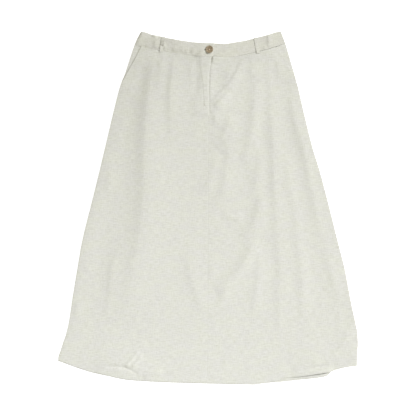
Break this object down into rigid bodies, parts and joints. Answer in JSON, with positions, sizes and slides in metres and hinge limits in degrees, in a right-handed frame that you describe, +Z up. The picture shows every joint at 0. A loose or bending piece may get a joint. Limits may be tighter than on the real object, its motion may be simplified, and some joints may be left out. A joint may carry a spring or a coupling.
{
  "type": "maxi skirt",
  "caption": "Long A-line linen skirt laid flat, with a buttoned waistband, belt loops, slanted pockets, a lapped fly front and soft folds.",
  "frame": {"origin": "middle of the laid-flat outline, on the surface that the skirt lies on", "axes": "+Y towards the waist, +X towards the wearer's left side, +Z up from the surface, out of the skirt's front"},
  "size_m": [0.8088, 0.952, 0.0099],
  "materials": {
    "linen": "natural oatmeal linen weave with fine slubs, matt",
    "linen_band": "the same linen, folded, fused and pressed",
    "horn": "brown horn look with a soft polish"
  },
  "bodies": {
    "root": {"back_panel": "linen", "front_right": "linen", "front_left": "linen", "pocket_piece_right": "linen", "pocket_piece_left": "linen", "waistband_back": "linen_band", "waistband_right": "linen_band", "waistband_left": "linen_band", "belt_loop_right": "linen_band", "belt_loop_left": "linen_band", "button": "horn"}
  },
  "joints": []
}
